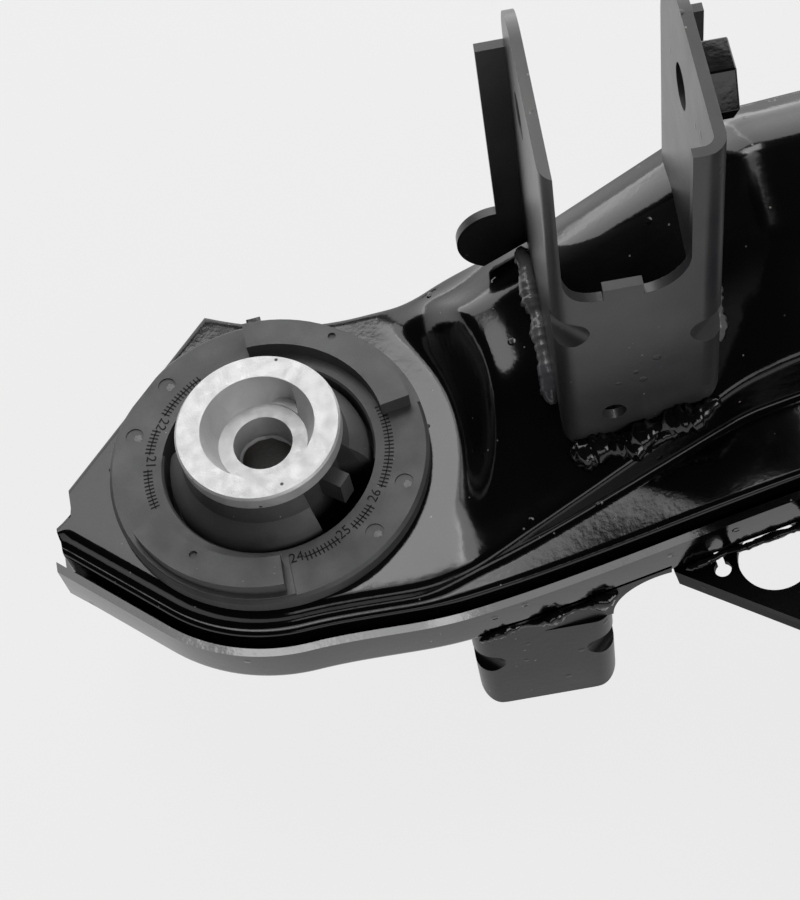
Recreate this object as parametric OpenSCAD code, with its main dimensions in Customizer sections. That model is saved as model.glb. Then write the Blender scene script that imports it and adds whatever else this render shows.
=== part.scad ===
// Axle subframe: two pressed side rails on four rubber bushes, two cross-members,
// upper link towers, lower link brackets and corner gussets.
// Frame: X across, Y along, Z up, floor at Z = 0, origin in the middle.

/* [Layout] */
// Distance between the left and right bush axes
bush_span_x = 800; // [740:5:860]
// Distance between the front and rear bush axes
bush_span_y = 740; // [720:5:800]
// Height of the bush seats above the floor
seat_z = 77; // [74:0.5:84]

/* [Side rails] */
// Sheet thickness of all pressings
sheet_t = 2.5; // [2:0.1:3]
// Half width of a rail on its inboard side
rail_in = 58; // [56:0.5:62]
// Half width of a rail on its outboard side
rail_out = 45.5; // [44:0.5:49]
// Radius of the inboard skirt round the bush
nose_in_r = 55; // [54:0.5:58]
// Distance from the bush axis to the slanted end edge
nose_out = 50.5; // [50:0.5:54]
// Outboard reach of the corner of the nose
ear_out = 60; // [57:0.5:64]
// Distance from the bush axis to the cut tip of the nose
tip_len = 67; // [64:0.5:68]
// Height of the crown above the bush seat at the middle of a rail
crown_h = 48; // [44:0.5:54]
// Outboard rise of the crown for each unit of width
crown_tilt = 0.29; // [0.2:0.01:0.32]
// Height of the hump beside the bush
step_h = 11; // [8:0.5:13]
// Radius at which the step round the bush starts
step_r = 57; // [56:0.5:59]
// Length of the step's slope
step_run = 18; // [14:0.5:22]
// Drop from the seat to the ledge
ledge_drop = 4; // [3.5:0.5:6]
// Width of the ledge beside the bush
ledge_w = 1.8; // [1.5:0.1:2.5]
// Growth of the ledge towards the middle of the rail
ledge_gain = 21; // [17:0.5:23]
// Drop from the ledge to the lip of the lower shell
lip_drop = 5; // [4:0.5:7]
// Height of the lower shell's wall
tray_h = 16; // [15:0.5:20]
// Corner radius of the lower shell
tray_r = 5; // [4:0.5:6]
// Rise of the lower shell from the bushes to the middle
tray_rise = 30; // [26:0.5:32]
// Gap between the upper shell's skirt and the lower shell's wall
groove = 2; // [1.5:0.1:2.5]

/* [Bushes] */
// Outer diameter of a bush can
can_d = 74; // [72:0.5:78]
// Wall thickness of a bush can
can_t = 2.5; // [2:0.1:3]
// Diameter of the rubber flange
flange_d = 98; // [96:0.5:99]
// Thickness of the rubber flange
flange_t = 5; // [4:0.1:6]
// Inner diameter of the rubber flange
flange_in_d = 64.4; // [63:0.1:65.5]
// Height of the two arc pads on the flange
pad_h = 5.5; // [4.5:0.1:6.5]
// Diameter of the core's head
head_d = 49.6; // [48:0.1:51]
// Top of the core's head above the seat
head_z = 22.8; // [21:0.1:25]
// Thickness of the head's rim
head_t = 5.8; // [5:0.1:7]
// Diameter of the core below its head
core_d = 40; // [39.5:0.1:41]
// Diameter of the core's lower shank
shank_d = 30; // [28:0.1:31]
// Diameter of the pocket in the head
pocket_d = 34.4; // [33:0.1:36]
// Depth of the pocket in the head
pocket_h = 9.8; // [8:0.1:11]
// Diameter of the pocket's floor
pocket_floor_d = 27; // [25:0.1:30]
// Diameter of the bolt bore in the core
bolt_d = 18; // [16:0.1:19]

/* [Cross-members] */
// Distance of each cross-member from the middle of the frame
cross_y = 135; // [125:1:140]
// Width of a cross-member
cross_w = 80; // [70:1:90]
// Height of a cross-member
cross_h = 34; // [31:0.5:36]
// Corner radius of a cross-member
cross_r = 10; // [8:0.5:12]
// Lap of the two halves of a cross-member
cross_lap = 10; // [7:0.5:12]
// Distance between the axle housing sleeves
sleeve_span = 200; // [160:5:260]
// Outer diameter of a sleeve
sleeve_d = 26; // [24:0.5:30]
// Bolt bore of a sleeve
sleeve_bore = 14.5; // [12:0.1:16]

/* [Link brackets] */
// Gap between the cheeks of an upper link tower
tower_gap = 39; // [36:0.5:42]
// Height of a tower above the bush seat
tower_h = 138; // [128:1:145]
// Depth of a tower from its web to its outer lips
tower_depth = 71; // [66:0.5:74]
// Distance from the bush axis to the middle of a tower
tower_r = 108; // [102:0.5:114]
// Distance from the rail's bush line to a tower's web
tower_v = 31; // [28:0.5:33]
// Turn of a tower about the vertical
tower_turn = 5; // [0:0.5:8]
// Height of the bottom of the web's scallop above the seat
scallop_z = 87; // [80:0.5:92]
// Outward lobe of a tower's lips
lip_lobe = 13; // [10:0.5:15]
// Sheet thickness of towers and brackets
bracket_t = 3; // [2.5:0.1:3.5]
// Gap between the cheeks of a lower link bracket
foot_gap = 37.5; // [36:0.5:42]
// Depth of a lower link bracket from its web outwards
foot_depth = 74; // [68:0.5:78]
// Distance from the bush axis to the middle of a lower link bracket
foot_r = 67.5; // [66:0.5:72]
// Turn of a lower link bracket about the vertical
foot_turn = 4.5; // [2:0.25:6]
// Corner radius at the foot of a bracket
foot_corner = 8; // [6:0.5:10]
// Bend radius of towers and brackets
bend_r = 6; // [5:0.5:8]
// Diameter of the link bolt holes
link_d = 12.5; // [10:0.1:14]
// Distance of the link bolt from the web
link_x = 44; // [40:0.5:48]
// Height of the upper link bolt above the seat
link_up_z = 112; // [106:0.5:116]
// Height of the lower link bolt above the floor
link_low_z = 24; // [21:0.5:28]
// Width across the flats of the weld nuts
nut_w = 19; // [17:0.5:22]
// Height of the weld nuts
nut_h = 10; // [8:0.5:12]

/* [Corner gussets] */
// Gap between a gusset and the flare of the lower link bracket
gusset_gap = 0.75; // [0.3:0.05:0.9]
// Inboard reach of a gusset along its cross-member
gusset_reach = 80; // [70:1:90]
// Lap of a gusset under the rail and the cross-member
gusset_lap = 14; // [12:0.5:18]
// Depth of the gusset's turned-down edge
gusset_edge = 9; // [7:0.5:12]
// Diameter of the gusset's lightening hole
gusset_hole_d = 22; // [16:0.5:23]

/* [Hidden] */
$fn = 64;

// Clearance between pieces that are welded or pressed together
seat_gap = 0.2;
// Clearance between bonded rubber and metal
bond_gap = 0.1;
// Radius of small pressed edges
edge_r = 1.2;
// Horizontal run of the wall between ledge and crown
wall_run = 2;
// Reach of cutting solids past the pieces they cut
past = 10;

// Where the rail's width, ramp, ledge and lower shell change along its length
neck_len = 48;
cross_front = bush_span_y / 2 - cross_y - cross_w / 2;
rise_start = 30;
rise_gap = 5;
rise_end = cross_front - rise_gap;
ramp_start = 45;
ramp_gap = 30;
ramp_end = rise_end - ramp_gap;
ramp_ease = 0.12;
ledge_start = 32;
ledge_gap = 47;
ledge_end = rise_end - ledge_gap;
ledge_ease = 0.1;
// Reach of the lower shell past the upper one at the tips, and depth of the notch in each tip
tray_past = 4;
notch_len = 4.6;
notch_in = 3.3;
// Where the hump fades across the rail, inboard and outboard
hump_in = 40;
hump_out_start = 20;
hump_out_end = 45;

diag = sqrt(2);
ear_r = ear_out - nose_out * diag;
ridge_inset = edge_r + wall_run + edge_r;
skirt_foot = sheet_t + max(0, tray_r - groove) + seat_gap;
plateau = rise_end;

function clamp01(x) = min(1, max(0, x));
function smooth(a, b, x) = let (t = clamp01((x - a) / (b - a))) t * t * (3 - 2 * t);
function mix(a, b, t) = a + (b - a) * t;
// Straight rise from 0 to 1 with rounded ends of length e
function ease(a, b, e, x) = let (t = clamp01((x - a) / (b - a)))
    (t < e ? t * t / (2 * e) : t > 1 - e ? 1 - e - (1 - t) * (1 - t) / (2 * e) : t - e / 2) / (1 - e);

// Plan edges of a rail at distance r from the bush axis, o inside the skirt
function edge_in(r, o) = let (q = nose_in_r - o, w = rail_in - o)
    r < -q / diag ? q * diag + r : r < 0 ? sqrt(q * q - r * r) : mix(q, w, smooth(0, neck_len, r));
function edge_out(r, o) = let (left = 1 - clamp01((r - ear_r) / neck_len))
    min((nose_out - o) * diag + r, rail_out - o + (ear_out - rail_out) * left * left);

// Heights above the bush seat
function ledge_z(r) = tray_rise * smooth(rise_start, rise_end, r) - ledge_drop;
function lip_z(r) = ledge_z(r) - lip_drop;
function floor_z(r) = lip_z(r) - tray_h;
function hump(v) = (1 - smooth(0, hump_in, v)) * (1 - smooth(hump_out_start, hump_out_end, -v));
function crown(r, v) = smooth(step_r, step_r + step_run, norm([r, v]))
    * ((crown_h - crown_tilt * v) * ease(ramp_start, ramp_end, ramp_ease, r) + step_h * hump(v));
function ledge_width(r) = ledge_w + ledge_gain * ease(ledge_start, ledge_end, ledge_ease, r);

// Inboard plan edge that keeps clear of the outboard one near the tips
min_crown = 0.4;
function clear_in(r, o, b) = max(edge_in(r, o), b + min_crown);

// Upper shell's section at r, from the inboard skirt over the crown to the outboard skirt
crown_points = 7;
function upper_profile(r, o) = let (
    a = edge_in(r, o),
    far = o + edge_r + ledge_width(r),
    b = -edge_out(r, o),
    top = -edge_out(r, o + 2 * edge_r),
    ridge = clear_in(r, far + ridge_inset - edge_r, top),
    foot = floor_z(r) + skirt_foot,
    zl = ledge_z(r) - o
) concat(
    [[a, foot], [a, zl - edge_r], [clear_in(r, o + edge_r, top), zl], [clear_in(r, far, top), zl]],
    [[clear_in(r, far + wall_run, top), crown(r, ridge) - edge_r - o], [ridge, crown(r, ridge) - o]],
    [for (i = [1:crown_points]) let (v = mix(ridge, top, i / (crown_points + 1))) [v, crown(r, v) - o]],
    [[top, crown(r, top) - o], [b, crown(r, b) - 2 * edge_r - o], [b, foot]]
);

// Lower shell's section at r, o inside its outer face
function lower_profile(r, o) = let (
    out = o - groove - sheet_t,
    z = floor_z(r) + o,
    bevel = 0.3 * tray_r
) [
    [edge_in(r, out), lip_z(r)], [edge_in(r, out), z + tray_r],
    [edge_in(r, out + bevel), z + bevel], [edge_in(r, out + tray_r), z],
    [-edge_out(r, out + tray_r), z], [-edge_out(r, out + bevel), z + bevel],
    [-edge_out(r, out), z + tray_r], [-edge_out(r, out), lip_z(r)]
];

// Stations along a rail, from the tip of one nose to the tip of the other
nose_bend = nose_in_r / diag;
nose_stations = [for (i = [0:4]) mix(-tip_len, -nose_bend, i / 4)];
arc_stations = [for (i = [1:3]) mix(-nose_bend, ear_r, i / 3)];
neck_stations = [for (i = [1:4]) mix(ear_r, ear_r + neck_len, i / 4)];
ramp_stations = [for (i = [1:14]) mix(ear_r + neck_len, ramp_end, pow(i / 14, 1.15))];
rise_stations = [rise_end];
half_stations = concat(nose_stations, arc_stations, neck_stations, ramp_stations, rise_stations);
lower_half = concat(
    [-tip_len - tray_past, nose_stations[2], -nose_bend], arc_stations, neck_stations,
    [for (i = [1:6]) mix(ear_r + neck_len, rise_end, i / 6)]
);
function both_ends(half) = concat(half,
    [for (i = [len(half) - 1:-1:0]) bush_span_y - half[i]]);
function fold(y) = min(y, bush_span_y - y);
function upper_rings(o, half) = [for (y = both_ends(half))
    [for (p = upper_profile(fold(y), o)) [p[0], y, p[1]]]];
function lower_rings(o, half) = [for (y = both_ends(half))
    [for (p = lower_profile(fold(y), o)) [p[0], y, p[1]]]];

// Solid between two skins of rings
module skin_solid(outer, inner) {
    n = len(outer[0]);
    rings = len(outer);
    base = n * rings;
    function a(i, j) = i * n + j;
    function b(i, j) = base + i * n + j;
    function quad(p, q, r, s) = [[p, q, r], [p, r, s]];
    sides = [for (i = [0:rings - 2]) each concat(
        [for (j = [0:n - 2]) each quad(a(i, j), a(i, j + 1), a(i + 1, j + 1), a(i + 1, j))],
        [for (j = [0:n - 2]) each quad(b(i, j), b(i + 1, j), b(i + 1, j + 1), b(i, j + 1))],
        quad(a(i, 0), a(i + 1, 0), b(i + 1, 0), b(i, 0)),
        quad(a(i, n - 1), b(i, n - 1), b(i + 1, n - 1), a(i + 1, n - 1))
    )];
    last = rings - 1;
    caps = [for (j = [0:n - 2]) each concat(
        quad(a(0, j), b(0, j), b(0, j + 1), a(0, j + 1)),
        quad(a(last, j), a(last, j + 1), b(last, j + 1), b(last, j))
    )];
    polyhedron(concat([for (ring = outer) each ring], [for (ring = inner) each ring]),
        concat(sides, caps));
}

// A section without its two end points, and rings flattened to one height
function inner_points(profile) = [for (i = [1:len(profile) - 2]) profile[i]];
function flat_rings(rings, z) = [for (ring = rings) [for (p = ring) [p[0], p[1], z]]];
function part_of(rings, low, high) = [for (ring = rings) if (ring[0][1] >= low && ring[0][1] <= high) ring];

// Space under the crown and space above the lower shell's floor, used to fit what is welded on
module crown_space(low, high) {
    rings = part_of([for (y = both_ends(half_stations))
        [for (p = inner_points(upper_profile(fold(y), -seat_gap))) [p[0], y, p[1]]]], low, high);
    skin_solid(rings, flat_rings(rings, -tray_h - tray_rise));
}
module floor_space(low, high) {
    rings = part_of([for (y = both_ends(lower_half))
        [for (p = inner_points(lower_profile(fold(y), -seat_gap))) [p[0], y, p[1]]]], low, high);
    mirror([0, 0, 1]) skin_solid(
        [for (ring = rings) [for (p = ring) [p[0], p[1], -p[2]]]],
        flat_rings(rings, -crown_h - tray_rise));
}

// Places a corner's pieces: local X points inboard, local Y to the middle, Z = 0 on the seat
module corner(sx, sy) {
    translate([sx * bush_span_x / 2, sy * bush_span_y / 2, seat_z])
        mirror([sx > 0 ? 1 : 0, 0, 0])
        mirror([0, sy > 0 ? 1 : 0, 0])
        children();
}
paint = [0.06, 0.06, 0.07];
rubber = [0.2, 0.2, 0.21];
alloy = [0.8, 0.8, 0.8];

// Side rail shells
module bush_holes(low, high) {
    for (y = [0, bush_span_y]) translate([0, y, low])
        cylinder(d = can_d + 2 * seat_gap, h = high - low);
}
module tip_notches() {
    deep = past - floor_z(0);
    for (y = [0, bush_span_y]) translate([0, y, floor_z(0)]) mirror([0, y > 0 ? 1 : 0, 0])
        linear_extrude(deep) polygon([
            [-past, -tip_len - past], [notch_in + past, -tip_len - past],
            [notch_in, -tip_len], [0, notch_len - tip_len], [-past, notch_len - tip_len]
        ]);
}
module upper_shell(sx) {
    color(paint) corner(sx, -1) difference() {
        skin_solid(upper_rings(0, half_stations), upper_rings(sheet_t, half_stations));
        bush_holes(-ledge_drop - sheet_t, past);
        tip_notches();
    }
}
module lower_shell(sx) {
    color(paint) corner(sx, -1) difference() {
        skin_solid(lower_rings(sheet_t, lower_half), lower_rings(0, lower_half));
        bush_holes(floor_z(0) - past, lip_z(0));
    }
}

// Bush pieces
can_top = 0;
can_bottom = floor_z(0) - 4;
rubber_bottom = can_bottom + 3;
core_bottom = can_bottom - 4;
head_under = head_z - head_t;
pocket_floor = head_z - pocket_h;
taper_h = 7;
module bush_can(sx, sy) {
    color(paint) corner(sx, sy) translate([0, 0, can_bottom]) difference() {
        cylinder(d = can_d, h = can_top - can_bottom);
        translate([0, 0, -past]) cylinder(d = can_d - 2 * can_t, h = can_top - can_bottom + 2 * past);
    }
}

// Sector of a ring between two radii and two angles
module ring_sector(r_in, r_out, h, from, to) {
    far = 2 * r_out;
    intersection() {
        difference() {
            cylinder(r = r_out, h = h);
            translate([0, 0, -1]) cylinder(r = r_in, h = h + 2);
        }
        linear_extrude(h) polygon([
            [0, 0], far * [cos(from), sin(from)],
            far * [cos((from + to) / 2), sin((from + to) / 2)], far * [cos(to), sin(to)]
        ]);
    }
}
groove_floor = -8;
cone_r = flange_in_d / 2 - 3.6;
body_r = can_d / 2 - can_t - bond_gap;
bond_r = core_d / 2 + bond_gap;
shank_r = shank_d / 2 + bond_gap;
void_in = bond_r + 0.7;
void_out = flange_in_d / 2 + 0.6;
void_web = 3;
void_from = 22;
void_to = 73;
pad_in = 35;
pad_from = 97;
pad_to = 179;
low_pad_in = 37;
low_pad_out = 46.5;
low_pad_from = 292;
low_pad_to = 357;
low_step = 1.4;
low_step_h = 0.8;
low_step_turn = 3;
stop_w = 5;
stop_z = 3;
module bush_rubber(sx, sy) {
    rim = flange_d / 2;
    inner = flange_in_d / 2;
    top = head_under - bond_gap;
    color(rubber) corner(sx, sy) {
        difference() {
            rotate_extrude() polygon([
                [rim, 0], [rim, flange_t - 1], [rim - 1, flange_t], [inner + 0.6, flange_t],
                [inner, flange_t - 0.8], [inner, groove_floor + 1], [inner - 1, groove_floor],
                [cone_r, groove_floor], [cone_r, 0], [mix(cone_r, bond_r, 0.35), 0.6 * top],
                [bond_r + 1.2, top], [bond_r, top], [bond_r, taper_h + 1],
                [shank_r, 1], [shank_r, rubber_bottom], [body_r, rubber_bottom], [body_r, 0]
            ]);
            for (turn = [0, 180]) rotate([0, 0, turn]) translate([0, 0, rubber_bottom + void_web])
                ring_sector(void_in, void_out, top - rubber_bottom, void_from, void_to);
        }
        translate([0, 0, flange_t]) ring_sector(pad_in, rim, pad_h, pad_from, pad_to);
        translate([0, 0, flange_t]) ring_sector(low_pad_in, low_pad_out, pad_h, low_pad_from, low_pad_to);
        translate([0, 0, flange_t]) ring_sector(low_pad_in - low_step, low_pad_out + low_step, low_step_h,
            low_pad_from - low_step_turn, low_pad_to + low_step_turn);
        rotate([0, 0, (void_from + void_to) / 2]) translate([bond_r, -stop_w / 2, stop_z])
            cube([void_out - bond_r - 4, stop_w, top - stop_z - 4]);
    }
}
key_r = 5;
key_wall = 0.5;
key_at = pocket_d / 2 - key_r - key_wall;
key_turn = 140;
key_floor = 0.5;
module bush_core(sx, sy) {
    color(alloy) corner(sx, sy) difference() {
        rotate_extrude() polygon([
            [bolt_d / 2, core_bottom], [shank_d / 2, core_bottom], [shank_d / 2, 1],
            [core_d / 2, taper_h + 1], [core_d / 2, head_under], [head_d / 2 - 0.8, head_under],
            [head_d / 2, head_under + 0.8], [head_d / 2, head_z - 0.6], [head_d / 2 - 0.6, head_z],
            [pocket_d / 2, head_z], [pocket_floor_d / 2, pocket_floor], [bolt_d / 2, pocket_floor]
        ]);
        rotate([0, 0, key_turn]) translate([key_at, 0, pocket_floor + key_floor])
            cylinder(r = key_r, h = pocket_h);
    }
}

// Cross-members: an upper channel lapped over a lower one, cut to the rails' sections
module round_rect(w, h, r) {
    translate([r - w / 2, 0]) square([w - 2 * r, h]);
    translate([-w / 2, r]) square([w, h - 2 * r]);
    for (x = [-1, 1], z = [r, h - r]) translate([x * (w / 2 - r), z]) circle(r);
}
module channel_2d(w, h, r, open) {
    difference() {
        round_rect(w, h, r);
        translate([0, sheet_t]) round_rect(w - 2 * sheet_t, h - 2 * sheet_t, r - sheet_t);
        translate([-w, open[0]]) square([2 * w, open[1] - open[0]]);
    }
}
cross_bottom = seat_z + floor_z(plateau);
cross_split = 0.4 * cross_h;
lap_top = min(cross_split + cross_lap, cross_h - cross_r);
module rail_section(sx) {
    translate([sx * bush_span_x / 2, 0, seat_z]) mirror([sx > 0 ? 1 : 0, 0, 0]) rotate([90, 0, 0])
        linear_extrude(2 * bush_span_y, center = true) union() {
            polygon(upper_profile(plateau, -seat_gap));
            polygon(lower_profile(plateau, -seat_gap));
        }
}
module cross_piece(sy) {
    difference() {
        translate([0, sy * cross_y, cross_bottom]) rotate([90, 0, 90])
            linear_extrude(bush_span_x, center = true) children();
        rail_section(-1);
        rail_section(1);
        translate([0, 0, cross_bottom - past]) sleeve_pair(sy, sleeve_d + 2 * seat_gap, cross_h + 2 * past);
    }
}
module crossmember_upper(sy) {
    color(paint) cross_piece(sy) channel_2d(cross_w, cross_h, cross_r, [-1, cross_split]);
}
module crossmember_lower(sy) {
    inner_w = cross_w - 2 * (sheet_t + seat_gap);
    color(paint) cross_piece(sy)
        channel_2d(inner_w, cross_h, cross_r - sheet_t, [lap_top, cross_h + 1]);
}
module sleeve_pair(sy, d, h) {
    for (sx = [-1, 1]) translate([sx * sleeve_span / 2, sy * cross_y, 0]) cylinder(d = d, h = h);
}
sleeve_past = 3;
module sleeves(sy) {
    color(paint) translate([0, 0, cross_bottom - sleeve_past]) difference() {
        sleeve_pair(sy, sleeve_d, cross_h + 2 * sleeve_past);
        translate([0, 0, -1]) sleeve_pair(sy, sleeve_bore, cross_h + 2 * sleeve_past + 2);
    }
}

dart_r = 6;
dart_depth = 6.5;
// Folded channel in plan: web on X = 0 facing inboard, cheeks running outboard
module folded_plan(gap, depth, lip) {
    w = gap + 2 * bracket_t;
    difference() {
        union() {
            translate([-depth, -w / 2]) square([depth - bend_r, w]);
            translate([-bend_r - 1, bend_r - w / 2]) square([bend_r + 1, w - 2 * bend_r]);
            for (s = [-1, 1]) translate([-bend_r, s * (w / 2 - bend_r)]) circle(bend_r);
            translate([-depth, -w / 2 - lip]) square([bracket_t, w + 2 * lip]);
        }
        translate([-depth - 1, -gap / 2]) square([depth + 1 - bend_r, gap]);
        translate([-bend_r - 1, bend_r - w / 2]) square([bend_r + 1 - bracket_t, w - 2 * bend_r]);
        for (s = [-1, 1]) translate([-bend_r, s * (w / 2 - bend_r)]) circle(bend_r - bracket_t);
    }
}
// Dart pressed across a bend: its hollow, and the sheet that it pushes inwards
module dart(side, w, r) {
    reach = dart_depth - dart_r;
    translate([-reach / diag, side * (w / 2 - reach / diag), 0])
        rotate([0, 0, side * 45]) rotate([90, 0, 0])
        cylinder(r = r, h = 4 * dart_r, center = true);
}
module dart_sheet(side, w) {
    intersection() {
        dart(side, w, dart_r + bracket_t);
        translate([-4 * dart_r - bracket_t, bracket_t - w / 2, -2 * dart_r])
            cube([4 * dart_r, w - 2 * bracket_t, 4 * dart_r]);
    }
}
// A face outline drawn in Y and Z, and a cheek outline drawn in X and Z, as cutting solids
module along_x(depth) {
    rotate([90, 0, 90]) linear_extrude(2 * depth, center = true) children();
}
module along_y(width) {
    rotate([90, 0, 0]) linear_extrude(2 * width, center = true) children();
}

// Upper link tower
tower_w = tower_gap + 2 * bracket_t;
tower_base = -20;
tower_reach = 62;
scallop_to = 9;
scallop_r = 9;
scallop_far_r = 13;
tab_at = -4;
tab_w = 10.5;
tab_h = 4;
web_hole_d = 7;
web_hole_at = -8;
web_hole_z = 32;
tower_top_r = 26;
lobe_z = 29;
lobe_past = 8;
tower_darts = [[-1, 73], [1, 65]];
module tower_place() {
    translate([tower_v, tower_r, 0]) rotate([0, 0, -tower_turn]) children();
}
module scallop_2d() {
    from = bracket_t - tower_w / 2;
    to = tower_w / 2 - scallop_to;
    low = scallop_z + scallop_r;
    far_low = scallop_z + scallop_far_r;
    difference() {
        union() {
            translate([from, far_low]) square([to - from, tower_h]);
            translate([from, low]) square([scallop_r, tower_h]);
            translate([from + scallop_r, scallop_z])
                square([to - from - scallop_r - scallop_far_r, tower_h]);
            translate([from + scallop_r, low]) circle(scallop_r);
            translate([to - scallop_far_r, far_low]) circle(scallop_far_r);
        }
        translate([tab_at - tab_w / 2, scallop_z - 1]) square([tab_w, tab_h + 1]);
    }
}
module tower_face_2d() {
    translate([-tower_w / 2, tower_base]) square([tower_w, tower_h - tower_base]);
    for (s = [-1, 1]) translate([s * tower_w / 2, 0]) {
        translate([s * lobe_past, lobe_z]) circle(lip_lobe);
        translate([-lobe_past, lobe_z - lip_lobe]) square([2 * lobe_past, 2 * lip_lobe]);
        translate([-lobe_past, lobe_z]) square([2 * lobe_past, tower_h - lobe_z - tower_top_r]);
    }
}
module tower_cheek_2d() {
    translate([-tower_depth - 1, tower_base]) square([tower_depth + 2, tower_h - tower_base - tower_top_r]);
    translate([tower_top_r - tower_depth, tower_base])
        square([tower_depth - tower_top_r + 1, tower_h - tower_base]);
    translate([tower_top_r - tower_depth, tower_h - tower_top_r]) circle(tower_top_r);
}
module link_tower(sx, sy) {
    color(paint) corner(sx, sy) difference() {
        tower_place() union() {
            intersection() {
                translate([0, 0, tower_base]) linear_extrude(tower_h - tower_base)
                    folded_plan(tower_gap, tower_depth, lobe_past + lip_lobe + 1);
                along_x(tower_depth + past) tower_face_2d();
                along_y(tower_w) tower_cheek_2d();
            }
            for (d = tower_darts) translate([0, 0, d[1]]) dart_sheet(d[0], tower_w);
        }
        tower_place() {
            for (d = tower_darts) translate([0, 0, d[1]]) dart(d[0], tower_w, dart_r);
            rotate([90, 0, 90]) linear_extrude(4 * bend_r, center = true) scallop_2d();
            translate([-2 * bracket_t, web_hole_at, web_hole_z]) rotate([0, 90, 0])
                cylinder(d = web_hole_d, h = 4 * bracket_t);
            translate([-link_x, 0, link_up_z]) rotate([90, 0, 0])
                cylinder(d = link_d, h = 2 * tower_w, center = true);
        }
        crown_space(tower_r - tower_reach, bush_span_y - rise_end);
    }
}

// Lower link bracket: a turned channel under a strip that follows the rail
foot_w = foot_gap + 2 * bracket_t;
foot_v = rail_in + groove + sheet_t;
foot_cheek_r = 22;
flare_r = 18;
foot_dart_z = -0.6 * seat_z;
foot_top = floor_z(foot_r + foot_w / 2 + flare_r) + tray_r;
strip_z = foot_top - tray_r - flare_r;
module foot_strip_2d() {
    from = bend_r - foot_w / 2;
    difference() {
        translate([from, strip_z]) square([foot_w / 2 + flare_r - from, foot_top - strip_z]);
        translate([foot_w / 2 + flare_r, strip_z]) circle(flare_r);
    }
}
module foot_face_2d() {
    h = foot_top + seat_z;
    translate([-foot_w / 2, foot_corner - seat_z]) square([foot_w, h]);
    translate([foot_corner - foot_w / 2, -seat_z]) square([foot_w - 2 * foot_corner, h]);
    for (s = [-1, 1]) translate([s * (foot_w / 2 - foot_corner), foot_corner - seat_z]) circle(foot_corner);
}
module foot_cheek_2d() {
    h = foot_top + seat_z;
    translate([-foot_depth - 1, foot_cheek_r - seat_z]) square([foot_depth + 2, h]);
    translate([foot_cheek_r - foot_depth, -seat_z]) square([foot_depth - foot_cheek_r + 1, h]);
    translate([foot_cheek_r - foot_depth, foot_cheek_r - seat_z]) circle(foot_cheek_r);
}
module foot_place() {
    translate([foot_v, foot_r, 0]) rotate([0, 0, -foot_turn]) children();
}
module foot_channel() {
    intersection() {
        translate([0, 0, -seat_z]) linear_extrude(foot_top + seat_z) folded_plan(foot_gap, foot_depth, 0);
        along_x(foot_depth + past) foot_face_2d();
        along_y(foot_w) foot_cheek_2d();
    }
    for (s = [-1, 1]) translate([0, 0, foot_dart_z]) dart_sheet(s, foot_w);
}
module link_bracket(sx, sy) {
    color(paint) corner(sx, sy) difference() {
        union() {
            difference() {
                foot_place() foot_channel();
                translate([foot_v, foot_r - foot_w, strip_z])
                    cube([past, 2 * foot_w, foot_top - strip_z + past]);
            }
            translate([foot_v - bracket_t, foot_r, 0]) rotate([90, 0, 90])
                linear_extrude(bracket_t) foot_strip_2d();
        }
        foot_place() for (s = [-1, 1]) translate([0, 0, foot_dart_z]) dart(s, foot_w, dart_r);
        foot_place() translate([-link_x, 0, link_low_z - seat_z]) rotate([90, 0, 0])
            cylinder(d = link_d, h = 2 * foot_w, center = true);
        floor_space(0, bush_span_y - rise_end);
    }
}

// Weld nuts on the cheeks that face the middle of the frame
module weld_nut() {
    rotate([-90, 0, 0]) difference() {
        cylinder(d = nut_w * 2 / sqrt(3), h = nut_h, $fn = 6);
        translate([0, 0, -1]) cylinder(d = link_d, h = nut_h + 2);
    }
}
module tower_weld_nuts() {
    color(paint) for (sx = [-1, 1], sy = [-1, 1]) corner(sx, sy) tower_place()
        translate([-link_x, tower_w / 2, link_up_z]) weld_nut();
}
module bracket_weld_nuts() {
    color(paint) for (sx = [-1, 1], sy = [-1, 1]) corner(sx, sy) foot_place()
        translate([-link_x, foot_w / 2, link_low_z - seat_z]) weld_nut();
}

// Corner gusset: a sloped plate under the rail, lapped under the cross-member
gusset_r = foot_r + foot_w / 2 + flare_r + gusset_gap;
gusset_run = cross_front - gusset_r;
gusset_slope = atan((floor_z(cross_front) - floor_z(gusset_r)) / gusset_run);
gusset_len = gusset_run / cos(gusset_slope);
gusset_v = foot_v;
hole_at = [5, 29];
key_at_edge = [4, 13.5];
key_hole_d = 5;
key_slot_w = 2.2;
key_slot_l = 8;
module gusset_plate_2d() {
    difference() {
        polygon([
            [gusset_v - gusset_lap, 0], [gusset_v, 0],
            [gusset_v + gusset_reach, gusset_len], [gusset_v - gusset_lap, gusset_len]
        ]);
        translate([gusset_v, 0] + hole_at) circle(d = gusset_hole_d);
        translate([gusset_v, 0] + key_at_edge) {
            circle(d = key_hole_d);
            translate([-key_slot_l, -key_slot_w / 2]) square([key_slot_l, key_slot_w]);
        }
    }
}
module gusset(sx, sy) {
    edge_len = norm([gusset_reach, gusset_len]);
    edge_turn = atan2(gusset_len, gusset_reach);
    color(paint) corner(sx, sy) {
        translate([0, gusset_r, floor_z(gusset_r) - seat_gap]) rotate([gusset_slope, 0, 0]) {
            translate([0, 0, -sheet_t]) linear_extrude(sheet_t) gusset_plate_2d();
            translate([gusset_v, 0, -gusset_edge]) rotate([0, 0, edge_turn])
                cube([edge_len, sheet_t, gusset_edge]);
        }
        translate([gusset_v - gusset_lap, cross_front - sheet_t, floor_z(plateau) - seat_gap - sheet_t])
            cube([gusset_lap + gusset_reach, gusset_lap + sheet_t, sheet_t]);
    }
}

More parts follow.
